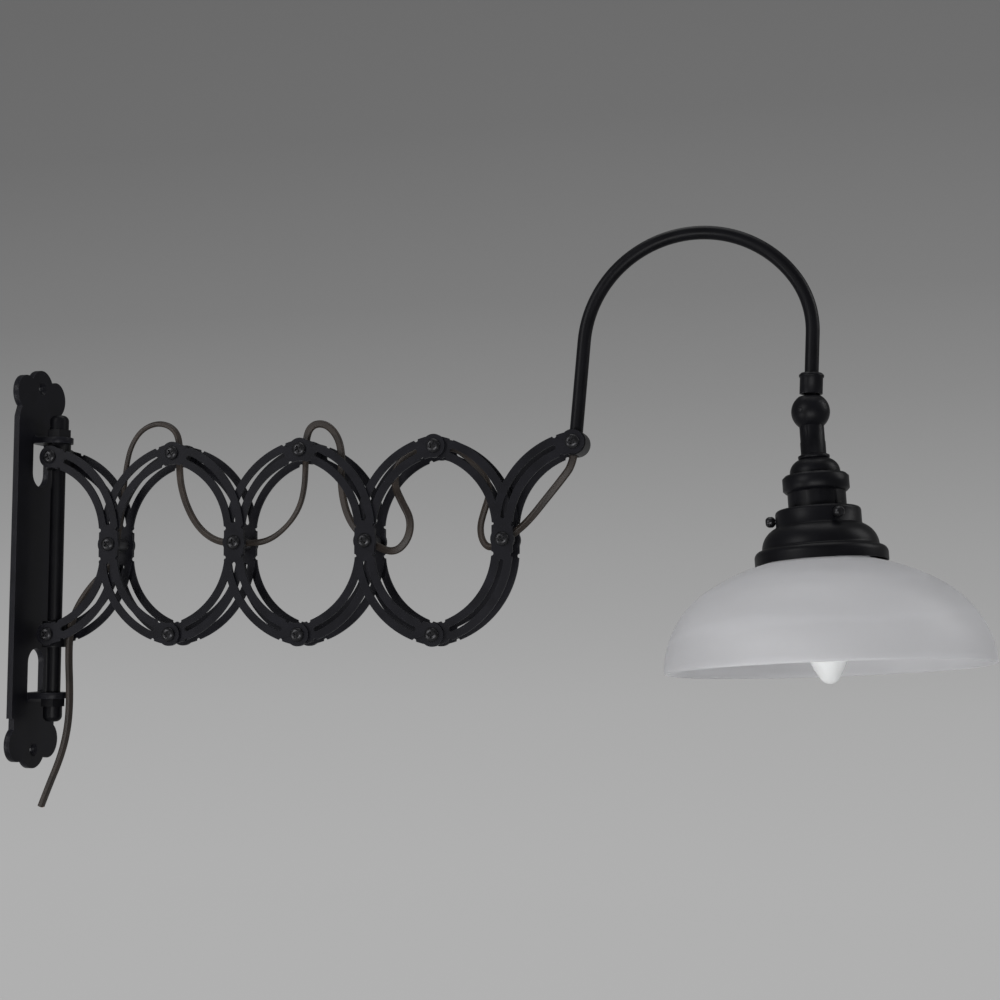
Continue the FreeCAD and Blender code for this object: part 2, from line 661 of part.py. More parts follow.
def neck_run(name, radius, foot_level, fall):
    """Both legs and the bend of the gooseneck as one bar, from a level above the pivot."""
    pieces = [bar(name + "_rise", radius, S.neck_leg - foot_level, on_neck(0, foot_level),
                  NECK_SPIN.multVec(Z_AXIS)),
              bar(name + "_fall", radius, fall, bend_end, drop_way)]
    for tag, centre, bend_radius, sweep, turn in (
            ("bend", bend_centre, S.bend_radius, S.bend_angle, S.bend_angle),
            ("end_bend", end_bend_centre, S.end_bend_radius, S.end_bend_angle, whole_turn)):
        bend = doc.addObject("Part::Torus", "%s_%s" % (name, tag))
        bind(bend, Radius1=bend_radius, Radius2=radius, Angle3=sweep)
        spin = FreeCAD.Rotation(Y_AXIS, float(turn) - 180).multiply(LEAN_RIGHT)
        pieces.append(place(bend, on_neck(*centre), NECK_SPIN.multiply(spin)))
    return fuse(name, pieces)


def gooseneck():
    seat = S.hub_diameter / 2 - S.socket_depth
    outer = neck_run("tube_outside", S.tube_diameter / 2, seat, S.drop_leg)
    inner = neck_run("tube_inside", S.tube_diameter / 2 - S.tube_wall, seat - 1,
                     S.drop_leg + 1)
    node("gooseneck_tube", cut("gooseneck_tube", outer, [inner]))
    node("inner_lead", neck_run("inner_lead", S.cord_diameter / 2, S.side_play,
                                S.drop_leg - S.lead_strip))
    rise_way = NECK_SPIN.multVec(Z_AXIS)
    floor = on_neck(0, S.hub_diameter / 2 - S.socket_depth)
    socket = bar("hub_socket", S.tube_diameter / 2, S.hub_diameter, floor, rise_way)
    outlet = bar("hub_outlet", S.cord_hole / 2, S.hub_diameter, on_neck(0, 0), rise_way * -1)
    passage = bar("hub_passage", S.cord_hole / 2, S.hub_diameter / 2, on_neck(0, 0), rise_way)
    node("tube_hub", cross_barrel("tube_hub", (HUB_X, HUB_Z), S.spacer_length / 2,
                                  S.hub_diameter, [], [socket, outlet, passage]))


# ---- ball joint ----

def downward(lean, tilt):
    """Way down an axis that leans towards +X and tilts towards -Y, in degrees."""
    across = math.sin(math.radians(float(lean)))
    forward = math.sin(math.radians(float(tilt)))
    return V(across, -forward, -math.sqrt(1 - across ** 2 - forward ** 2))


head_down = downward(S.head_lean, S.head_tilt)
pin_way = drop_way.cross(head_down)
pin_way.normalize()
# The head's own Z runs down its axis and its X stays nearest to +X.
HEAD = FreeCAD.Placement(BALL_CENTRE,
                         FreeCAD.Rotation(X_AXIS, V(0, -1, 0), head_down, "ZXY"))
# The glass turns a little about the point midway between its three screws.
glass_down = downward(S.glass_lean, S.glass_tilt)
grip = BALL_CENTRE + head_down * float(S.thumb_height)
GLASS = FreeCAD.Placement(grip - glass_down * float(S.thumb_height),
                          FreeCAD.Rotation(X_AXIS, V(0, -1, 0), glass_down, "ZXY"))
COLLAR = FreeCAD.Placement(BALL_CENTRE,
                           FreeCAD.Rotation(X_AXIS, V(0, 1, 0), drop_way * -1, "ZXY"))


def swivel_collar():
    """Collar on the tube's end, with the stem and eye that the ball hangs from."""
    outer = S.collar_diameter / 2
    bead = S.bead_diameter / 2
    bead_low = S.collar_top - S.bead_height
    cup = outer - S.collar_wall
    tube = S.tube_diameter / 2 + S.slide_play
    shell = turned("collar_shell", [
        (0, S.collar_web), (cup, S.collar_web), (cup, S.collar_bottom),
        (outer, S.collar_bottom), (outer, bead_low), (bead, bead_low + S.bead_slope),
        (bead, S.collar_top - S.bead_chamfer), (bead - S.bead_chamfer, S.collar_top),
        (tube, S.collar_top),
        (tube, S.collar_seat), (0, S.collar_seat)])
    shell.Placement = COLLAR
    up = drop_way * -1
    stem = bar("collar_stem", S.stem_diameter / 2, S.collar_web + 1, BALL_CENTRE, up)
    half_eye = float(S.eye_width) / 2
    eye = bar("collar_eye", S.eye_diameter / 2, S.eye_width, BALL_CENTRE - pin_way * half_eye,
              pin_way)
    blank = fuse("collar_blank", [shell, stem, eye])
    pin_hole = bar("collar_pin_hole", S.ball_pin / 2 + S.pin_play, S.eye_width,
                   BALL_CENTRE - pin_way * half_eye, pin_way)
    window = float(S.eye_diameter / 2 + S.wire_bore / 2)
    wire = bar("collar_wire_bore", S.wire_bore / 2, S.collar_top, BALL_CENTRE + up * window, up)
    aside = up.cross(pin_way)
    outlet = bar("collar_wire_window", S.wire_bore / 2, S.stem_diameter,
                 BALL_CENTRE + up * window, aside)
    node("swivel_collar", cut("swivel_collar", blank, [pin_hole, wire, outlet]))


def ball():
    """Hollow ball, open at the top for the stem, with its cross pin."""
    radius = S.ball_diameter / 2
    solid = doc.addObject("Part::Sphere", "ball_outside")
    bind(solid, Radius=radius)
    hollow = doc.addObject("Part::Sphere", "ball_inside")
    bind(hollow, Radius=radius - S.ball_wall)
    for sphere in (solid, hollow):
        sphere.Placement = HEAD
    up = head_down * -1
    above = bar("ball_opening", S.ball_opening / 2, radius, BALL_CENTRE, up)
    below = bar("ball_seat", radius, radius,
                BALL_CENTRE + head_down * float(S.ball_seat_height), head_down)
    half_pin = radius - S.pin_inset
    pin = bar("ball_pin", S.ball_pin / 2, half_pin * 2,
              BALL_CENTRE - pin_way * float(half_pin), pin_way)
    hole = bar("ball_pin_hole", S.ball_pin / 2, S.ball_diameter + 2,
               BALL_CENTRE - pin_way * (float(radius) + 1), pin_way)
    node("swivel_ball", cut("swivel_ball", solid, [hollow, above, below, hole]))
    node("ball_pin", pin)


# ---- lampholder and gallery: outlines run outward and down from the ball's centre ----

def head_part(name, outline, placement=HEAD):
    piece = turned(name, outline)
    piece.Placement = placement
    return node(name, piece)


def lampholder():
    neck = S.neck_diameter / 2
    bead = S.neck_bead / 2
    bead_low = S.neck_end - S.neck_bead_height
    bore = S.holder_bore / 2
    chamfer = S.neck_bead_chamfer
    head_part("holder_neck", [
        (bore, S.ball_seat_height), (neck, S.ball_seat_height), (neck, S.neck_seam),
        (neck + S.sleeve_step, S.neck_seam + S.sleeve_step), (neck + S.sleeve_step, bead_low),
        (bead, bead_low + S.neck_bead_slope), (bead, S.neck_end - chamfer),
        (bead - chamfer, S.neck_end),
        (bore, S.neck_end)])
    wall = S.holder_wall
    cap_top = S.cap_top_diameter / 2
    cap_side = S.cap_mouth / 2
    head_part("holder_cap", [
        (bore, S.neck_end), (cap_top, S.neck_end), (cap_side, S.cap_foot, S.cap_round, 1),
        (cap_side, S.cap_end), (cap_side - wall, S.cap_end), (cap_side - wall, S.cap_foot),
        (cap_top - wall * 0.6, S.neck_end + wall, S.cap_round - wall, -1),
        (bore, S.neck_end + wall)])
    ring = S.ring_diameter / 2
    shell = S.shell_diameter / 2
    play = S.holder_play
    head_part("holder_ring", [
        (cap_side + play, S.ring_top), (ring - S.ring_bevel, S.ring_top),
        (ring, S.ring_top + S.ring_bevel), (ring, S.ring_end - S.ring_bevel),
        (ring - S.ring_bevel, S.ring_end), (shell, S.ring_end), (shell, S.shell_top),
        (cap_side + play, S.shell_top)])
    neck_side = S.shell_neck / 2
    head_part("holder_shell", [
        (shell - wall, S.shell_top), (shell, S.shell_top), (shell, S.shell_step),
        (neck_side, S.shell_step), (neck_side, S.shell_end), (neck_side - wall, S.shell_end),
        (neck_side - wall, S.shell_step - wall), (shell - wall, S.shell_step - wall)])
    core = cap_side - wall - play
    inner = S.socket_bore / 2
    head_part("porcelain_core", [
        (0, S.core_top), (core, S.core_top), (core, S.core_end), (inner, S.core_end),
        (inner, S.core_floor), (0, S.core_floor)])
    thread = turned("socket_thread", [
        (inner - S.socket_wall, S.core_floor + S.contact_thickness), (inner, S.core_floor
                                                                      + S.contact_thickness),
        (inner, S.core_end), (inner - S.socket_wall, S.core_end)])
    thread.Placement = HEAD
    contact = turned("centre_contact", [
        (0, S.core_floor), (S.contact_radius, S.core_floor),
        (S.contact_radius, S.core_floor + S.contact_thickness),
        (0, S.core_floor + S.contact_thickness)])
    contact.Placement = HEAD
    group("socket_contacts", [thread, contact])


def gallery():
    """Spun gallery: collar, ogee shoulder and skirt in one wall."""
    wall = S.gallery_wall
    side = S.gallery_diameter / 2
    hole = S.shell_neck / 2 + S.holder_play
    shoulder = S.shoulder_diameter / 2
    skirt = S.skirt_diameter / 2
    top = S.gallery_top + S.gallery_crown
    round_end = top + S.gallery_round
    step = S.gallery_step
    ledge = S.shoulder_step
    skirt_top = S.shoulder_end + S.skirt_drop
    shell = turned("gallery_shell", [
        (hole, S.gallery_top), (side - S.gallery_round, top),
        (side, round_end, S.gallery_round, 1), (side, S.gallery_foot),
        (side + step, S.gallery_foot + step),
        (shoulder, S.shoulder_end, S.shoulder_round, 1),
        (shoulder + ledge, S.shoulder_end + ledge),
        (skirt, skirt_top, S.skirt_round, 1), (skirt, S.skirt_end),
        (skirt - wall, S.skirt_end), (skirt - wall, skirt_top + wall * 0.4),
        (shoulder + ledge - wall * 0.4, S.shoulder_end + ledge + wall,
         S.skirt_round - wall, -1),
        (shoulder - wall, S.shoulder_end + wall * 0.4),
        (side + step - wall * 0.8, S.gallery_foot + step + wall, S.shoulder_round - wall, -1),
        (side - wall, S.gallery_foot + wall * 0.4), (side - wall, round_end),
        (side - S.gallery_round, top + wall, S.gallery_round - wall, -1),
        (hole, S.gallery_top + wall)])
    shell.Placement = HEAD
    holes = []
    for number, way in enumerate(thumb_ways()):
        start = HEAD.multVec(V(0, 0, float(S.thumb_height)))
        holes.append(bar("thumb_hole_%d" % number, S.thumb_thread / 2 + S.slide_play, side + 2,
                         start, way))
    node("shade_gallery", cut("shade_gallery", shell, holes))
    nut = S.gallery_nut_diameter / 2
    nut_top = S.gallery_top + wall + S.gallery_nut_gap
    head_part("gallery_nut", [
        (S.shell_neck / 2, nut_top), (nut, nut_top), (nut, nut_top + S.gallery_nut_height),
        (S.shell_neck / 2, nut_top + S.gallery_nut_height)])


def thumb_ways():
    """Outward directions of the three shade screws."""
    ways = []
    for number in range(3):
        angle = math.radians(float(S.thumb_first) + 120 * number)
        # the angle goes from +X towards +Y, and the head's own Y is reversed
        ways.append(HEAD.Rotation.multVec(V(math.cos(angle), -math.sin(angle), 0)))
    return ways


def thumb_screws():
    """Knurled knobs on short screws that grip the glass under its lip."""
    tip = S.glass_neck / 2 + S.thumb_gap
    side = S.gallery_diameter / 2
    knob = S.thumb_knob / 2
    shank = side + S.thumb_reach - tip
    for number, way in enumerate(thumb_ways()):
        name = "thumb_screw_%d" % (number + 1)
        screw = turned(name, [
            (0, 0), (S.thumb_thread / 2, 0), (S.thumb_thread / 2, shank),
            (knob * 0.55, shank), (knob, shank + S.thumb_knob_length * 0.35, knob, 1),
            (knob, shank + S.thumb_knob_length * 0.65),
            (knob * 0.6, shank + S.thumb_knob_length, knob, 1),
            (0, shank + S.thumb_knob_length)])
        base = HEAD.multVec(V(0, 0, float(S.thumb_height))) + way * float(tip)
        screw.Placement = FreeCAD.Placement(base, FreeCAD.Rotation(Z_AXIS, way))
        node(name, screw)


# ---- shade and bulb ----

def crown_radius():
    """Radius of the dome's top, whose arc runs smoothly into the rim's arc."""
    a, b, r = S.shade_radius, S.shade_rise, S.rim_curve
    return ((a - r) * (a - r) + b * b - r * r) / ((b - r) * 2)


def root(value):
    return Size(math.sqrt(value.number), "sqrt(%s)" % value.formula)


def shade():
    """Blown glass dome of two tangent arcs, with a flared neck and a gripping lip."""
    crown = crown_radius()
    crown_centre = S.widest_level - S.shade_rise + crown
    rim_centre = S.shade_radius - S.rim_curve
    lean_in = rim_centre / (crown - S.rim_curve)
    drop = (crown_centre - S.widest_level) / (crown - S.rim_curve)
    neck = S.glass_neck / 2
    lip = S.glass_lip / 2
    wall = S.glass_wall

    def joint(radius):
        return rim_centre + lean_in * radius, S.widest_level - drop * radius

    def crown_level(across, radius):
        return crown_centre - root(radius * radius - across * across)

    def rim_radius(radius):
        above = S.widest_level - S.rim_level
        return rim_centre + root(radius * radius - above * above)

    outer_flare = S.flare_radius
    inner_flare = S.flare_radius - wall
    inner = neck - wall
    head_part("glass_shade", [
        (inner, S.glass_neck_top), (lip, S.glass_neck_top),
        (lip, S.glass_neck_top + S.glass_lip_height), (neck, S.glass_neck_top
                                                      + S.glass_lip_height),
        (neck, S.flare_top),
        (outer_flare, crown_level(outer_flare, crown), S.flare_round, -1),
        (*joint(S.rim_curve), crown, 1),
        (rim_radius(S.rim_curve), S.rim_level, S.rim_curve, 1),
        (rim_radius(S.rim_curve - wall), S.rim_level, wall * 0.51, 1),
        (*joint(S.rim_curve - wall), S.rim_curve - wall, -1),
        (inner_flare, crown_level(inner_flare, crown - wall), crown - wall, -1),
        (inner, S.flare_top + wall * 0.5, S.flare_round + wall, 1)], GLASS)


def bulb():
    """Clear tubular bulb with a pointed end, on a screw cap."""
    cap = S.bulb_cap_diameter / 2
    contact = S.bulb_tip_contact
    slope = S.cap_slope
    button_end = contact + S.button_height
    head_part("bulb_cap", [
        (0, contact), (S.bulb_button, contact), (S.bulb_button + slope, button_end),
        (cap - slope, button_end + slope), (cap, button_end + slope * 2),
        (cap, S.bulb_cap_end), (0, S.bulb_cap_end)])
    throat = S.bulb_throat / 2
    belly = S.bulb_diameter / 2
    glass = S.bulb_glass
    tip_centre = S.bulb_length_end - S.bulb_tip_radius
    shoulder = S.bulb_shoulder_radius

    def tip_level(across, radius):
        return tip_centre + root(radius * radius - across * across)

    small = S.bulb_tip_radius - glass
    stem = S.mount_diameter / 2
    flare = S.mount_flare / 2
    head_part("bulb_glass", [
        (0, S.bulb_cap_end), (throat, S.bulb_cap_end),
        (belly, S.bulb_wide_level, S.bulb_swell, 1),
        (shoulder, tip_level(shoulder, S.bulb_tip_radius), S.bulb_taper, 1),
        (0, S.bulb_length_end, S.bulb_tip_radius, 1),
        (0, S.bulb_length_end - glass),
        (shoulder - glass, tip_level(shoulder - glass, small), small, -1),
        (belly - glass, S.bulb_wide_level, S.bulb_taper - glass, -1),
        (throat - glass, S.bulb_cap_end + glass, S.bulb_swell - glass, -1),
        (flare, S.bulb_cap_end + glass), (stem, S.mount_shoulder),
        (stem, S.mount_end), (0, S.mount_end)])


# ---- cord ----
# Points chosen along the cord, in the plane midway between the sheets: how far each one is
# from the post and above the arm's upper pivot. Each stretch ends in a spacer.

REACH = float(S.cord_reach)
LEAVE = {tag: (math.cos(math.radians(way)), math.sin(math.radians(way)))
         for tag, way in CORD_WAY.items()}


def mouth(tag, reach):
    """Point on a spacer's cross hole, ahead of or behind its centre."""
    finder = {"t": top_pivot, "m": middle_pivot}[tag[0]]
    x, z = finder(int(tag[1]))
    return x + LEAVE[tag][0] * reach, z + LEAVE[tag][1] * reach


def cord_tube(name, route):
    """Round tube along straight runs joined by tangent arcs."""
    spots = [V(x, 0, z) for x, z in route]
    edges = []
    radii = []
    begin = spots[0]
    for before, corner, after in zip(spots, spots[1:], spots[2:]):
        way_in = corner - before
        way_out = after - corner
        shorter = min(way_in.Length, way_out.Length)
        turn = way_in.getAngle(way_out)
        radius = 0.45 * shorter / math.tan(turn / 2)
        radii.append(radius)
        way_in.normalize()
        way_out.normalize()
        back = 0.45 * shorter
        start = corner - way_in * back
        end = corner + way_out * back
        inward = way_out - way_in
        inward.normalize()
        middle = corner + inward * (radius / math.cos(turn / 2) - radius)
        edges.append(Part.LineSegment(begin, start).toShape())
        edges.append(Part.Arc(start, middle, end).toShape())
        begin = end
    edges.append(Part.LineSegment(begin, spots[-1]).toShape())
    path = Part.Wire(edges)
    radius = float(S.cord_diameter) / 2
    circle = Part.Wire(Part.makeCircle(radius, spots[0], spots[1] - spots[0]))
    tube = path.makePipeShell([circle], True, False)
    share = tube.Volume / (math.pi * radius ** 2 * path.Length)
    print("%s: length %.0f, least radius %.1f, volume ratio %.4f"
          % (name, path.Length, min(radii), share))
    feature = doc.addObject("Part::Feature", name)
    feature.Shape = tube
    node(name, feature)


def cord():
    x0, z0 = float(post_x), PIVOT_TOP

    def spots(*pairs):
        return [(x0 + x, z0 + z) for x, z in pairs]

    outlet = on_neck(0, -0.1)
    below = on_neck(0, -REACH - 3)
    cord_tube("cord_hub_to_m3", [(outlet.x, outlet.z), (below.x, below.z)]
              + spots((440, -29), (427.5, -44), (416, -58))
              + [mouth("m3", -REACH), mouth("m3", -0.1)])
    cord_tube("cord_m3_to_t3", [mouth("m3", 0.1), mouth("m3", REACH)]
              + spots((376.5, -78), (373.8, -65.5), (377.5, -52), (382, -39.5),
                      (380, -27), (370.5, -14.5), (361, -6))
              + [mouth("t3", -REACH), mouth("t3", -0.1)])
    cord_tube("cord_t3_to_m2", [mouth("t3", 0.1), mouth("t3", REACH)]
              + spots((312, -6), (303.5, -17), (302.5, -30.5), (309, -44), (316.5, -57.5),
                      (315, -72.5), (305.5, -83.5))
              + [mouth("m2", -REACH), mouth("m2", -0.1)])
    cord_tube("cord_m2_to_t2", [mouth("m2", 0.1), mouth("m2", REACH)]
              + spots((262.5, -54), (258, -38), (256.5, -21.5), (257.5, -5), (254, 11),
                      (244, 22), (232, 22.5))
              + [mouth("t2", -REACH), mouth("t2", -0.1)])
    cord_tube("cord_t2_to_m1", [mouth("t2", 0.1), mouth("t2", REACH)]
              + spots((225, -30), (221.5, -45), (213.5, -58), (202, -68.5), (192, -73.5))
              + [mouth("m1", -REACH), mouth("m1", -0.1)])
    cord_tube("cord_m1_to_t1", [mouth("m1", 0.1), mouth("m1", REACH)]
              + spots((142, -70.5), (129.5, -59.5), (120.5, -44), (115, -28))
              + [mouth("t1", -REACH), mouth("t1", -0.1)])
    cord_tube("cord_t1_to_m0", [mouth("t1", 0.1), mouth("t1", REACH)]
              + spots((106, 24), (92, 28), (77.5, 22.5), (68, 9), (64, -8), (62.3, -26),
                      (60.6, -45))
              + [mouth("m0", -REACH), mouth("m0", -0.1)])
    cord_tube("cord_tail", [mouth("m0", 0.1), mouth("m0", REACH)]
              + spots((45, -99), (33.5, -110), (23.5, -123.5), (16, -139), (14, -156),
                      (14.2, -174), (15.3, -191), (15.8, -208), (15, -225), (12, -242),
                      (6.5, -259), (-1, -276), (-8.6, -295)))


def check_and_export():
    doc.recompute()
    for item in doc.Objects:
        if "Invalid" in item.State or "Error" in item.State:
            raise RuntimeError("%s failed: %s" % (item.Name, item.State))
    os.makedirs("parts", exist_ok=True)
    for piece in nodes:
        shape = piece.Shape
        if shape.isNull() or not shape.isValid() or not shape.Solids:
            raise RuntimeError("%s has no valid solid" % piece.Label)
    for piece in nodes:
        piece.Shape.exportStep("parts/%s.step" % piece.Label)
    print("%d nodes" % len(nodes))


wall_plate()
post()
pivot_block()
slide_block()
scissor()
gooseneck()
swivel_collar()
ball()
lampholder()
gallery()
thumb_screws()
shade()
bulb()
cord()
check_and_export()
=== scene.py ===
import json
import math

import bpy
from mathutils import Matrix, Vector


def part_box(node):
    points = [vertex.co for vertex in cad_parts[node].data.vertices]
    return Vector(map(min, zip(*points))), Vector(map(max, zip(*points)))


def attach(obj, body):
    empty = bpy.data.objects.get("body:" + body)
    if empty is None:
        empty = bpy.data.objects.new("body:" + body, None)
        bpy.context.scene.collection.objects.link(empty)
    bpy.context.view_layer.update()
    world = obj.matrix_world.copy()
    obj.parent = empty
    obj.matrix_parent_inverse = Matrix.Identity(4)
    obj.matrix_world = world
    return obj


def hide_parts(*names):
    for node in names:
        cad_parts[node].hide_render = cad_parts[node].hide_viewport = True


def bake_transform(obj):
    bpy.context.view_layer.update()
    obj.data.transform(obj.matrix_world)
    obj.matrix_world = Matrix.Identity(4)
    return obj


# Accordion wall lamp, dressed for the camera. Metres; X out of the wall, Z up, camera at -Y.

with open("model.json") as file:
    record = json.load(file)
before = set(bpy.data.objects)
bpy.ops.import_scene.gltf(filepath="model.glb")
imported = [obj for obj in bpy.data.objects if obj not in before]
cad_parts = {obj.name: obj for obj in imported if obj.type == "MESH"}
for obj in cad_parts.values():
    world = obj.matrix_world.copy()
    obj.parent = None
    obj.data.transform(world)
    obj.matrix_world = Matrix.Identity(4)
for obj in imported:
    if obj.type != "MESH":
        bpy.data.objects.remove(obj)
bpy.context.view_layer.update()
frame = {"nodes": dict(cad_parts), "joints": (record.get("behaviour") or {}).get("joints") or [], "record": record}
scene = bpy.context.scene

MM = 0.001
JOINTS = {joint["name"]: joint for joint in frame["joints"]}
BODY_OF = {node: body for body, members in frame["record"]["behaviour"]["bodies"].items()
           for node in members}


def joint_at(name):
    return Vector(JOINTS[name]["pos_m"])


TOP_PIVOT = joint_at("arm_extend")
PITCH = joint_at("fold_t1").x - TOP_PIVOT.x
DROP = TOP_PIVOT.z - joint_at("fold_m0").z
HUB = joint_at("neck_tilt")
BALL = joint_at("head_tilt")


# ---- camera ----

PHOTO_SIDE = 1000
FOCAL_PIXELS = 1502.0
SENSOR = 36.0
CAMERA_FROM_TOP_PIVOT = Vector((674.4, -1155.9, -142.9)) * MM
CAMERA_AZIMUTH = math.radians(13.80)
CAMERA_ELEVATION = math.radians(4.77)


def make_camera():
    data = bpy.data.cameras.new("camera")
    data.sensor_width = SENSOR
    data.lens = FOCAL_PIXELS * SENSOR / PHOTO_SIDE
    data.clip_start = 0.05
    data.clip_end = 50.0
    camera = bpy.data.objects.new("camera", data)
    camera.location = TOP_PIVOT + CAMERA_FROM_TOP_PIVOT
    camera.rotation_euler = (math.pi / 2 + CAMERA_ELEVATION, 0.0, CAMERA_AZIMUTH)
    scene.collection.objects.link(camera)
    scene.camera = camera
    return camera


# ---- material building blocks ----

class Nodes:
    """A short way to add shader nodes to one material."""

    def __init__(self, name):
        self.material = bpy.data.materials.new(name)
        self.material.use_nodes = True
        self.tree = self.material.node_tree
        self.tree.nodes.clear()
        self.output = self.add("ShaderNodeOutputMaterial")

    def add(self, kind, **settings):
        node = self.tree.nodes.new(kind)
        for key, value in settings.items():
            setattr(node, key, value)
        return node

    def link(self, source, target):
        self.tree.links.new(source, target)

    def set(self, node, **values):
        for key, value in values.items():
            node.inputs[key.replace("_", " ")].default_value = value
        return node

    def noise(self, scale, detail=3.0, vector=None):
        node = self.set(self.add("ShaderNodeTexNoise"), Scale=scale, Detail=detail)
        self.link(vector or self.place(), node.inputs["Vector"])
        return node.outputs["Fac"]

    def place(self):
        return self.add("ShaderNodeNewGeometry").outputs["Position"]

    def object_place(self):
        return self.add("ShaderNodeTexCoord").outputs["Object"]

    def ramp(self, factor, stops):
        node = self.add("ShaderNodeValToRGB")
        elements = node.color_ramp.elements
        while len(elements) < len(stops):
            elements.new(0.5)
        for element, (position, colour) in zip(elements, stops):
            element.position = position
            element.color = (*colour, 1.0)
        self.link(factor, node.inputs["Fac"])
        return node.outputs["Color"]

    def range(self, factor, low, high):
        node = self.add("ShaderNodeMapRange")
        node.inputs["To Min"].default_value = low
        node.inputs["To Max"].default_value = high
        self.link(factor, node.inputs["Value"])
        return node.outputs["Result"]

    def mix(self, factor, first, second):
        node = self.add("ShaderNodeMix", data_type="RGBA")
        for socket, value in ((node.inputs["Factor"], factor), (node.inputs[6], first),
                              (node.inputs[7], second)):
            if isinstance(value, (tuple, float)):
                socket.default_value = value
            else:
                self.link(value, socket)
        return node.outputs[2]

    def math(self, operation, first, second=0.5):
        node = self.add("ShaderNodeMath", operation=operation)
        for socket, value in zip(node.inputs, (first, second)):
            if isinstance(value, (int, float)):
                socket.default_value = value
            else:
                self.link(value, socket)
        return node.outputs[0]

    def bump(self, height, distance, strength=1.0, normal=None):
        node = self.add("ShaderNodeBump")
        node.inputs["Strength"].default_value = strength
        node.inputs["Distance"].default_value = distance
        self.link(height, node.inputs["Height"])
        if normal is not None:
            self.link(normal, node.inputs["Normal"])
        return node.outputs["Normal"]

    def principled(self, **values):
        shader = self.set(self.add("ShaderNodeBsdfPrincipled"), **values)
        self.link(shader.outputs[0], self.output.inputs["Surface"])
        return shader


def grey(value, blue=0.0):
    return (value, value, value * (1.0 + blue))


def sheet_black():
    """Satin powder coat: near black, slightly blue, with a fine grain and edges painted paler as a painted
    highlight.
    """
    m = Nodes("satin_black")
    cloud = m.noise(60.0, 4.0, m.object_place())
    grain = m.noise(2600.0, 2.0, m.object_place())
    shader = m.principled(IOR=1.5, Specular_IOR_Level=0.10)
    base = m.ramp(cloud, [(0.30, (0.0034, 0.0034, 0.0048)), (0.75, (0.0056, 0.0056, 0.0080))])
    # Edge mask for a painted highlight: where the bevel normal turns away from the true normal, the colour is
    # painted a paler blue-grey.
    rounded = m.add("ShaderNodeBevel", samples=4)
    rounded.inputs["Radius"].default_value = 0.5 * MM
    true_normal = m.add("ShaderNodeNewGeometry").outputs["True Normal"]
    facing = m.add("ShaderNodeVectorMath", operation="DOT_PRODUCT")
    m.link(rounded.outputs[0], facing.inputs[0])
    m.link(true_normal, facing.inputs[1])
    edge = m.math("SUBTRACT", 1.0, facing.outputs["Value"])
    edge = m.math("MULTIPLY", edge, m.range(m.noise(240.0, 3.0, m.object_place()), 0.2, 3.2))
    painted_edge_highlight = m.mix(m.math("MINIMUM", edge, 1.0), base, (0.034, 0.035, 0.042, 1.0))
    m.link(painted_edge_highlight, shader.inputs["Base Color"])
    m.link(m.range(cloud, 0.36, 0.50), shader.inputs["Roughness"])
    m.link(m.bump(grain, 0.03 * MM, 0.35), shader.inputs["Normal"])
    return m.material


def turned_black():
    """The lathe-turned pieces: smoother satin black with a faint fine grain."""
    m = Nodes("turned_black")
    cloud = m.noise(45.0, 4.0, m.object_place())
    shader = m.principled(IOR=1.5, Specular_IOR_Level=0.08)
    base = m.ramp(cloud, [(0.30, (0.0024, 0.0024, 0.0031)), (0.75, (0.0040, 0.0040, 0.0052))])
    m.link(base, shader.inputs["Base Color"])
    m.link(m.range(cloud, 0.34, 0.46), shader.inputs["Roughness"])
    grain = m.noise(2200.0, 2.0, m.object_place())
    m.link(m.bump(grain, 0.03 * MM, 0.3), shader.inputs["Normal"])
    return m.material


def spacer_grey():
    """Darkened satin steel with lengthwise brushing."""
    m = Nodes("spacer_grey")
    spot = m.add("ShaderNodeMapping")
    m.link(m.object_place(), spot.inputs["Vector"])
    spot.inputs["Scale"].default_value = (1.0, 0.06, 1.0)
    brushed = m.noise(1800.0, 2.0, spot.outputs[0])
    shader = m.principled(Metallic=0.7, IOR=1.5)
    m.link(m.ramp(brushed, [(0.3, grey(0.022, 0.1)), (0.8, grey(0.055, 0.1))]),
           shader.inputs["Base Color"])
    m.link(m.range(brushed, 0.36, 0.56), shader.inputs["Roughness"])
    m.link(m.bump(brushed, 0.02 * MM, 0.4), shader.inputs["Normal"])
    return m.material


def screw_black():
    """Oiled black steel of the screws, glossier than the sheet."""
    m = Nodes("screw_black")
    cloud = m.noise(700.0, 3.0, m.object_place())
    shader = m.principled(Metallic=0.6, IOR=1.5, Specular_IOR_Level=0.3)
    m.link(m.ramp(cloud, [(0.3, grey(0.008, 0.1)), (0.8, grey(0.024, 0.1))]),
           shader.inputs["Base Color"])
    m.link(m.range(cloud, 0.24, 0.40), shader.inputs["Roughness"])
    m.link(m.bump(cloud, 0.02 * MM, 0.3), shader.inputs["Normal"])
    return m.material


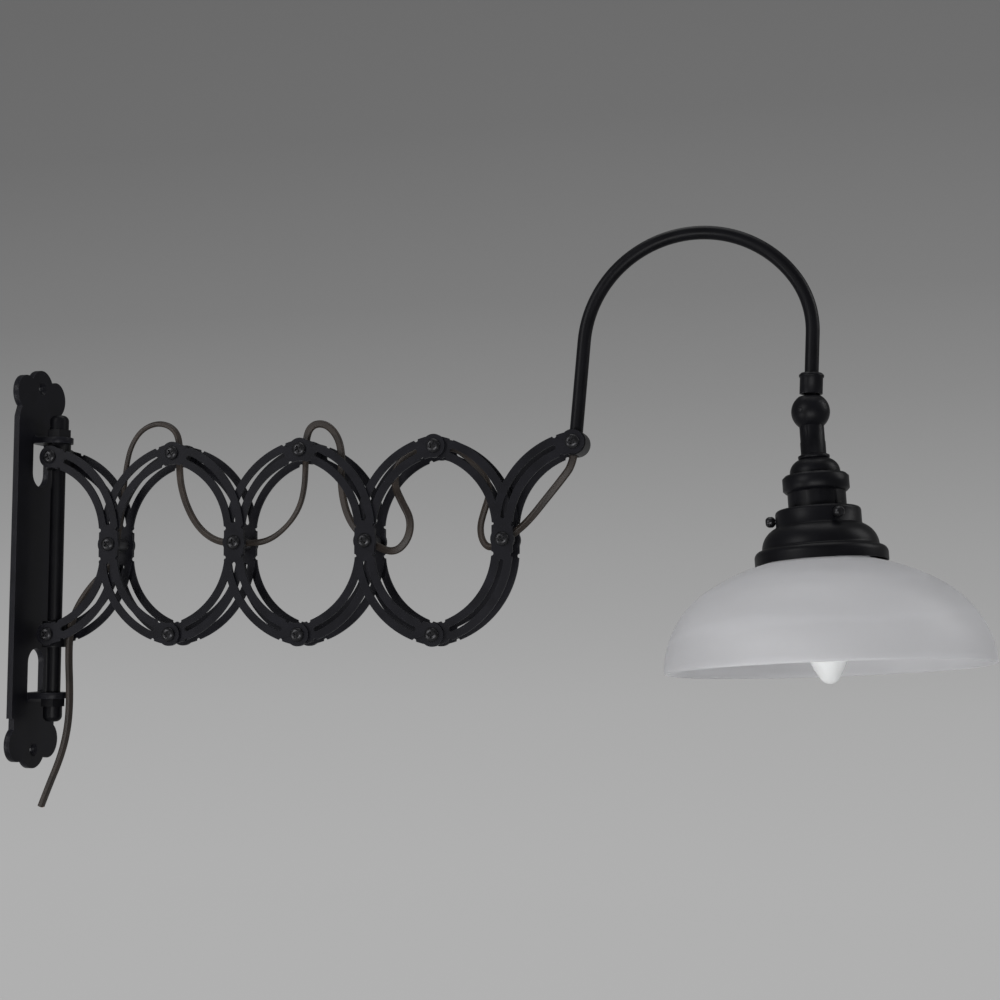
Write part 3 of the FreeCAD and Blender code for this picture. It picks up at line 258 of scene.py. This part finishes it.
def shade_glass():
    """Alabaster glass: milky, with faint veins, and light from behind glows through it."""
    m = Nodes("alabaster_glass")
    stretch = m.add("ShaderNodeMapping")
    m.link(m.object_place(), stretch.inputs["Vector"])
    stretch.inputs["Rotation"].default_value = (0.35, 0.2, 0.6)
    stretch.inputs["Scale"].default_value = (1.0, 1.4, 2.6)
    drift = m.noise(7.0, 5.0, stretch.outputs[0])
    wave = m.add("ShaderNodeTexWave", wave_type="BANDS", bands_direction="Z")
    m.set(wave, Scale=3.2, Distortion=7.0, Detail=3.0, Detail_Scale=1.2)
    m.link(stretch.outputs[0], wave.inputs["Vector"])
    vein = m.ramp(wave.outputs["Fac"], [(0.0, grey(1.0)), (0.16, grey(0.0)), (1.0, grey(0.0))])
    cloud = m.ramp(drift, [(0.30, (0.40, 0.40, 0.41)), (0.70, (0.50, 0.50, 0.51))])
    tint = m.mix(m.math("MULTIPLY", vein, 0.30), cloud, (0.60, 0.60, 0.62, 1.0))
    shader = m.principled(IOR=1.45, Roughness=0.38, Specular_IOR_Level=0.35)
    m.link(tint, shader.inputs["Base Color"])
    m.link(m.bump(drift, 0.3 * MM, 0.15), shader.inputs["Normal"])
    through = m.set(m.add("ShaderNodeBsdfTranslucent"), Color=(0.92, 0.92, 0.93, 1.0))
    body = m.add("ShaderNodeMixShader")
    body.inputs[0].default_value = 0.64
    m.link(shader.outputs[0], body.inputs[1])
    m.link(through.outputs[0], body.inputs[2])
    m.link(body.outputs[0], m.output.inputs["Surface"])
    return m.material


def clear_glass():
    """The bulb's glass, part clear and part milky, so that it reads pale under the shade."""
    m = Nodes("clear_glass")
    film = m.noise(35.0, 2.0, m.object_place())
    shader = m.principled(IOR=1.45, Transmission_Weight=0.45, Specular_IOR_Level=1.0)
    m.set(shader, Base_Color=(0.97, 0.98, 0.98, 1.0))
    m.link(m.range(film, 0.0, 0.05), shader.inputs["Roughness"])
    return m.material


def brass():
    m = Nodes("lamp_brass")
    cloud = m.noise(400.0, 3.0, m.object_place())
    shader = m.principled(Metallic=1.0)
    m.link(m.ramp(cloud, [(0.3, (0.62, 0.50, 0.28)), (0.8, (0.78, 0.66, 0.42))]),
           shader.inputs["Base Color"])
    m.link(m.range(cloud, 0.22, 0.38), shader.inputs["Roughness"])
    return m.material


def porcelain():
    m = Nodes("porcelain")
    cloud = m.noise(90.0, 3.0, m.object_place())
    shader = m.principled(IOR=1.52, Roughness=0.18)
    m.link(m.ramp(cloud, [(0.3, (0.70, 0.69, 0.66)), (0.8, (0.80, 0.79, 0.76))]),
           shader.inputs["Base Color"])
    return m.material


def tungsten():
    m = Nodes("filament_wire")
    cloud = m.noise(900.0, 2.0, m.object_place())
    shader = m.principled(Metallic=1.0)
    m.link(m.ramp(cloud, [(0.3, grey(0.30)), (0.8, grey(0.45))]), shader.inputs["Base Color"])
    m.link(m.range(cloud, 0.3, 0.45), shader.inputs["Roughness"])
    return m.material


def copper():
    m = Nodes("copper_strands")
    cloud = m.noise(3000.0, 2.0, m.object_place())
    shader = m.principled(Metallic=1.0)
    m.link(m.ramp(cloud, [(0.3, (0.50, 0.24, 0.13)), (0.8, (0.72, 0.38, 0.22))]),
           shader.inputs["Base Color"])
    m.link(m.range(cloud, 0.30, 0.50), shader.inputs["Roughness"])
    return m.material


def cord_skin():
    """Soft brown-black plastic of the flat twin cord."""
    m = Nodes("cord_skin")
    cloud = m.noise(70.0, 4.0, m.object_place())
    fine = m.noise(1500.0, 2.0, m.object_place())
    shader = m.principled(IOR=1.46, Specular_IOR_Level=0.3)
    m.link(m.ramp(cloud, [(0.30, (0.0110, 0.0082, 0.0066)), (0.78, (0.0260, 0.0185, 0.0140))]),
           shader.inputs["Base Color"])
    m.link(m.range(cloud, 0.42, 0.58), shader.inputs["Roughness"])
    m.link(m.bump(fine, 0.03 * MM, 0.3), shader.inputs["Normal"])
    return m.material


MATERIAL = {
    "sheet": sheet_black(), "turned": turned_black(), "spacer": spacer_grey(),
    "screw": screw_black(), "shade": shade_glass(), "bulb": clear_glass(), "brass": brass(),
    "porcelain": porcelain(), "wire": tungsten(), "copper": copper(), "cord": cord_skin(),
}


# ---- pieces that come from the CAD ----

TURNED = ("cap_nuts", "pivot_post", "pivot_block", "slide_block", "tube_hub", "swivel_", "holder_",
          "shade_gallery", "gallery_nut", "gooseneck_tube")
EDGE_ROUND = 0.25 * MM


def look_of(node):
    """Which material a CAD node wears."""
    if node.endswith("_spacers"):
        return "spacer"
    if node.endswith("_screws") or node.startswith("thumb_screw") or node == "ball_pin":
        return "screw"
    if node in ("bulb_cap", "socket_contacts"):
        return "brass"
    if node == "porcelain_core":
        return "porcelain"
    if node == "glass_shade":
        return "shade"
    if node == "bulb_glass":
        return "bulb"
    if node.startswith("cord_") or node == "inner_lead":
        return "cord"
    return "turned" if node.startswith(TURNED) else "sheet"


def dress_cad():
    for name, piece in frame["nodes"].items():
        piece.data.materials.clear()
        piece.data.materials.append(MATERIAL[look_of(name)])
        weld = piece.modifiers.new("weld", "WELD")
        weld.merge_threshold = 0.002 * MM
        if name.startswith("link_") and name.endswith(("front", "rear")) or name == "wall_plate":
            bevel = piece.modifiers.new("edges", "BEVEL")
            bevel.width = EDGE_ROUND
            bevel.segments = 2
            bevel.limit_method = "ANGLE"
            bevel.angle_limit = math.radians(50)
            bevel.use_clamp_overlap = True
            bevel.harden_normals = True


# ---- cord ----
# Points of the cord's route: how far each is from the post and above the
# arm's upper pivot, in millimetres. Each stretch runs from spacer to spacer.

CORD_WIDTH = 6.2 * MM
CORD_THICKNESS = 4.4 * MM
CORE_RADIUS = 0.9 * MM
CORE_SHOW = 0.7 * MM
SPACER_REACH = 13.0 * MM
CORD_WAY = {"m3": 215.0, "t3": 180.0, "m2": 145.6, "t2": 270.0, "m1": 180.0, "t1": 90.0,
            "m0": 263.0}
NECK_LEAN = math.radians(5.3)


def pivot(tag):
    """Place of a pivot, from its row, t or m, and its number."""
    index = int(tag[1])
    if tag[0] == "t":
        return TOP_PIVOT + Vector((index * PITCH, 0.0, 0.0))
    return TOP_PIVOT + Vector(((index + 0.5) * PITCH, 0.0, -DROP))


def mouth(tag, side):
    """A point behind, at or ahead of a spacer's centre along its cross hole."""
    way = math.radians(CORD_WAY[tag])
    return pivot(tag) + Vector((math.cos(way), 0.0, math.sin(way))) * side * SPACER_REACH


def twin_profile():
    """Closed outline of a flat twin cord: two round cores side by side."""
    data = bpy.data.curves.new("twin_profile", "CURVE")
    data.dimensions = "2D"
    spline = data.splines.new("POLY")
    steps = 28
    spline.points.add(steps - 1)
    core = CORD_THICKNESS / 2
    offset = CORD_WIDTH / 2 - core
    groove = 0.80
    for number, point in enumerate(spline.points):
        turn = 2 * math.pi * number / steps
        side = 1.0 if math.cos(turn) >= 0 else -1.0
        waist = groove + (1 - groove) * min(1.0, abs(math.cos(turn)) * 3.2)
        point.co = (side * offset * min(1.0, abs(math.cos(turn)) * 6.0)
                    + core * math.cos(turn), core * math.sin(turn) * waist, 0.0, 1.0)
    spline.use_cyclic_u = True
    profile = bpy.data.objects.new("twin_profile", data)
    profile.hide_render = True
    scene.collection.objects.link(profile)
    return profile


PROFILE = twin_profile()


def route_curve(name, points, turns, widths):
    data = bpy.data.curves.new(name, "CURVE")
    data.dimensions = "3D"
    data.resolution_u = 10
    data.twist_mode = "MINIMUM"
    spline = data.splines.new("NURBS")
    spline.points.add(len(points) - 1)
    last = len(points) - 1
    for index, (point, spot) in enumerate(zip(spline.points, points)):
        share = index / last
        point.co = (*spot, 1.0)
        point.tilt = math.radians(turns[0] + (turns[1] - turns[0]) * share)
        point.radius = widths[0] + (widths[1] - widths[0]) * share
    spline.order_u = 3
    spline.use_endpoint_u = True
    return data


def cord_stretch(node, points, turns, widths=(1.0, 1.0)):
    """One stretch of the cord as a mesh, along the spline through its route."""
    data = route_curve(node + "_line", points, turns, widths)
    holder = bpy.data.objects.new(node + "_line", data)
    scene.collection.objects.link(holder)
    line = bpy.data.meshes.new_from_object(holder)
    data.bevel_mode = "OBJECT"
    data.bevel_object = PROFILE
    data.use_fill_caps = True
    bpy.context.view_layer.update()
    mesh = bpy.data.meshes.new_from_object(
        holder.evaluated_get(bpy.context.evaluated_depsgraph_get()))
    bpy.data.objects.remove(holder)
    mesh.shade_smooth()
    mesh.materials.clear()
    mesh.materials.append(MATERIAL["cord"])
    name = node + "_skin"
    piece = bpy.data.objects.new(name, mesh)
    scene.collection.objects.link(piece)
    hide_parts(node)
    return piece


def spots(*pairs):
    return [TOP_PIVOT + Vector((x, 0.0, z)) * MM for x, z in pairs]


def make_cords():
    down_neck = Vector((-math.sin(NECK_LEAN), 0.0, -math.cos(NECK_LEAN)))
    stretches = {
        "cord_hub_to_m3": (
            [HUB + down_neck * 0.1 * MM, HUB + down_neck * (SPACER_REACH + 3 * MM)]
            + spots((440, -29), (427.5, -44), (416, -58))
            + [mouth("m3", -1), mouth("m3", -0.01)], (90, 40)),
        "cord_m3_to_t3": (
            [mouth("m3", 0.01), mouth("m3", 1)]
            + spots((376.5, -78), (373.8, -65.5), (377.5, -52), (382, -39.5), (380, -27),
                    (370.5, -14.5), (361, -6))
            + [mouth("t3", -1), mouth("t3", -0.01)], (40, 60)),
        "cord_t3_to_m2": (
            [mouth("t3", 0.01), mouth("t3", 1)]
            + spots((312, -6), (303.5, -17), (302.5, -30.5), (309, -44), (316.5, -57.5),
                    (315, -72.5), (305.5, -83.5))
            + [mouth("m2", -1), mouth("m2", -0.01)], (60, 75)),
        "cord_m2_to_t2": (
            [mouth("m2", 0.01), mouth("m2", 1)]
            + spots((262.5, -54), (258, -38), (256.5, -21.5), (257.5, -5), (254, 11),
                    (244, 22), (232, 22.5))
            + [mouth("t2", -1), mouth("t2", -0.01)], (75, 95)),
        "cord_t2_to_m1": (
            [mouth("t2", 0.01), mouth("t2", 1)]
            + spots((225, -30), (221.5, -45), (213.5, -58), (202, -68.5), (192, -73.5))
            + [mouth("m1", -1), mouth("m1", -0.01)], (95, 50)),
        "cord_m1_to_t1": (
            [mouth("m1", 0.01), mouth("m1", 1)]
            + spots((142, -70.5), (129.5, -59.5), (120.5, -44), (115, -28))
            + [mouth("t1", -1), mouth("t1", -0.01)], (50, 80)),
        "cord_t1_to_m0": (
            [mouth("t1", 0.01), mouth("t1", 1)]
            + spots((106, 24), (92, 28), (77.5, 22.5), (68, 9), (64, -8), (62.3, -26),
                    (60.6, -45))
            + [mouth("m0", -1), mouth("m0", -0.01)], (80, 40)),
    }
    for node, (points, turns) in stretches.items():
        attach(cord_stretch(node, points, turns), BODY_OF[node])
    tail_points = ([mouth("m0", 0.01), mouth("m0", 1)]
                   + spots((45, -99), (33.5, -110), (23.5, -123.5), (16, -139), (14, -156),
                           (14.2, -174), (15.3, -191), (15.8, -208), (15, -225), (12, -242),
                           (6.5, -259), (-1, -276), (-8.6, -295)))
    tail = cord_stretch("cord_tail", tail_points, (40, 0), (1.0, 1.12))
    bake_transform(tail)
    make_cut_end(tail_points[-2], tail_points[-1])


def make_cut_end(before, end):
    """The two bare cores that show on the cord's cut face."""
    way = (end - before).normalized()
    across = way.cross(Vector((0.0, 1.0, 0.0))).normalized()
    for tag, side in (("a", -1), ("b", 1)):
        bpy.ops.mesh.primitive_cylinder_add(
            vertices=20, radius=CORE_RADIUS, depth=CORE_SHOW,
            location=end + across * side * CORD_WIDTH * 0.20,
            rotation=way.to_track_quat("Z", "Y").to_euler())
        core = bpy.context.object
        core.name = "cord_core_" + tag
        core.data.materials.append(MATERIAL["copper"])
        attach(core, "post_slider")


# ---- filament ----

# Distances along the bulb's axis from the ball's centre, and out from that axis.
STEM_END = 118.0 * MM
FILAMENT_START = 121.0 * MM
FILAMENT_FINISH = 168.0 * MM
FILAMENT_LOOPS = 6
SUPPORT_LIFT = 4.0 * MM
SUPPORT_BEND = 2.0 * MM
SUPPORT_SPREAD = (1.2 * MM, 3.0 * MM, 5.0 * MM)
FILAMENT_RADIUS_LOW = 7.0 * MM
FILAMENT_RADIUS_HIGH = 5.0 * MM
WIRE_RADIUS = 0.22 * MM


def make_filament():
    """Two support wires and a long zigzag filament inside the bulb."""
    down = (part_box("bulb_glass")[0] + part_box("bulb_glass")[1]) / 2 - BALL
    axis = down.normalized()
    side = axis.cross(Vector((0.0, 1.0, 0.0))).normalized()
    other = axis.cross(side).normalized()
    data = bpy.data.curves.new("bulb_filament", "CURVE")
    data.dimensions = "3D"
    data.bevel_depth = WIRE_RADIUS
    data.resolution_u = 6
    spline = data.splines.new("NURBS")
    points = []
    for number in range(FILAMENT_LOOPS * 2 + 1):
        turn = math.pi * number / FILAMENT_LOOPS
        level = FILAMENT_FINISH if number % 2 else FILAMENT_START + SUPPORT_LIFT
        radius = FILAMENT_RADIUS_LOW if number % 2 else FILAMENT_RADIUS_HIGH
        points.append(BALL + axis * level + (side * math.cos(turn) + other * math.sin(turn))
                      * radius)
    spline.points.add(len(points) - 1)
    for point, spot in zip(spline.points, points):
        point.co = (*spot, 1.0)
    spline.order_u = 3
    spline.use_endpoint_u = True
    for sign in (-1, 1):
        wire = data.splines.new("POLY")
        wire.points.add(2)
        levels = (STEM_END, FILAMENT_START + SUPPORT_BEND, FILAMENT_START + SUPPORT_LIFT)
        ends = [BALL + axis * level + side * sign * spread
                for level, spread in zip(levels, SUPPORT_SPREAD)]
        for point, spot in zip(wire.points, ends):
            point.co = (*spot, 1.0)
    data.materials.append(MATERIAL["wire"])
    piece = bpy.data.objects.new("bulb_filament", data)
    scene.collection.objects.link(piece)
    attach(piece, "lamp_head")


# ---- studio ----

FLOOR_LEVEL = -0.62
BACKDROP_Y = 2.4
STUDIO_HALF = 6.0
CURVE_RADIUS = 0.5
BACKDROP_TOP = 5.0
# Grey of the backdrop by height, as (height in metres, sRGB grey from 0 to 255).
BACKDROP_GREYS = [(-0.62, 179), (-0.23, 171), (0.01, 161), (0.11, 157), (0.50, 135),
                  (0.75, 122), (1.20, 108), (1.60, 104)]


def linear(value):
    share = value / 255.0
    return ((share + 0.055) / 1.055) ** 2.4


def backdrop_material():
    """Grey that darkens upwards and glows where it is seen, as painted light that needs no lamp, and a plain grey
    where it lights the lamp.
    """
    m = Nodes("backdrop")
    low = BACKDROP_GREYS[0][0]
    high = BACKDROP_GREYS[-1][0]
    split = m.add("ShaderNodeSeparateXYZ")
    m.link(m.place(), split.inputs[0])
    height = m.add("ShaderNodeMapRange")
    height.inputs["From Min"].default_value = low
    height.inputs["From Max"].default_value = high
    m.link(split.outputs["Z"], height.inputs["Value"])
    stops = [((level - low) / (high - low), grey(linear(value)))
             for level, value in BACKDROP_GREYS]
    colour = m.ramp(height.outputs[0], stops)
    # The glow is painted light: where it is seen, the backdrop shows this height ramp by itself, darker upwards,
    # whatever the lamps do.
    glow = m.add("ShaderNodeEmission")
    m.link(colour, glow.inputs["Color"])
    paint = m.add("ShaderNodeBsdfDiffuse")
    paint.inputs["Color"].default_value = (0.50, 0.50, 0.50, 1.0)
    seen = m.add("ShaderNodeLightPath")
    direct = m.math("MAXIMUM", seen.outputs["Is Camera Ray"],
                    m.math("MAXIMUM", seen.outputs["Is Glossy Ray"],
                           seen.outputs["Is Transmission Ray"]))
    share = m.math("MULTIPLY", direct, 0.92)
    blend = m.add("ShaderNodeMixShader")
    m.link(share, blend.inputs[0])
    m.link(paint.outputs[0], blend.inputs[1])
    m.link(glow.outputs[0], blend.inputs[2])
    m.link(blend.outputs[0], m.output.inputs["Surface"])
    return m.material


def make_studio():
    """Floor that curves up into a backdrop, well behind and below the lamp."""
    outline = [(-STUDIO_HALF, FLOOR_LEVEL)]
    for step in range(17):
        turn = math.pi / 2 * step / 16
        outline.append((BACKDROP_Y - CURVE_RADIUS + CURVE_RADIUS * math.sin(turn),
                        FLOOR_LEVEL + CURVE_RADIUS - CURVE_RADIUS * math.cos(turn)))
    outline.append((BACKDROP_Y, BACKDROP_TOP))
    verts = [(x, y, z) for x in (-STUDIO_HALF, STUDIO_HALF) for y, z in outline]
    count = len(outline)
    faces = [(i, i + 1, count + i + 1, count + i) for i in range(count - 1)]
    mesh = bpy.data.meshes.new("studio")
    mesh.from_pydata(verts, [], faces)
    mesh.shade_smooth()
    mesh.materials.append(backdrop_material())
    studio = bpy.data.objects.new("studio", mesh)
    scene.collection.objects.link(studio)


def softbox(name, place, target, size, power):
    data = bpy.data.lights.new(name, "AREA")
    data.shape = "RECTANGLE"
    data.size, data.size_y = size
    data.energy = power
    lamp = bpy.data.objects.new(name, data)
    lamp.location = place
    lamp.rotation_euler = (Vector(target) - Vector(place)).to_track_quat("-Z", "Y").to_euler()
    scene.collection.objects.link(lamp)


def make_lights():
    world = bpy.data.worlds.new("studio_air")
    world.use_nodes = True
    sky = world.node_tree.nodes["Background"]
    sky.inputs["Color"].default_value = (0.52, 0.52, 0.53, 1.0)
    sky.inputs["Strength"].default_value = 0.46
    scene.world = world
    middle = (0.42, 0.0, 0.05)
    softbox("key_left", (-0.9, -1.5, 0.9), middle, (0.9, 0.9), 20.0)
    softbox("low_left", (-0.7, -0.9, -0.5), middle, (0.5, 0.4), 7.0)
    softbox("low_front", (0.95, -1.6, -0.55), (0.6, 0.0, 0.0), (0.7, 0.3), 13.0)
    softbox("rim_right", (2.0, 0.3, 0.9), middle, (0.5, 1.0), 9.0)
    softbox("top", (0.5, 0.2, 1.8), middle, (1.4, 1.0), 12.0)
    softbox("strip", (0.45, -1.3, -0.45), (0.664, -0.01, -0.08), (0.12, 0.5), 7.0)


make_camera()
make_cords()
dress_cad()
make_filament()
make_studio()
make_lights()

scene.view_settings.view_transform = "Standard"
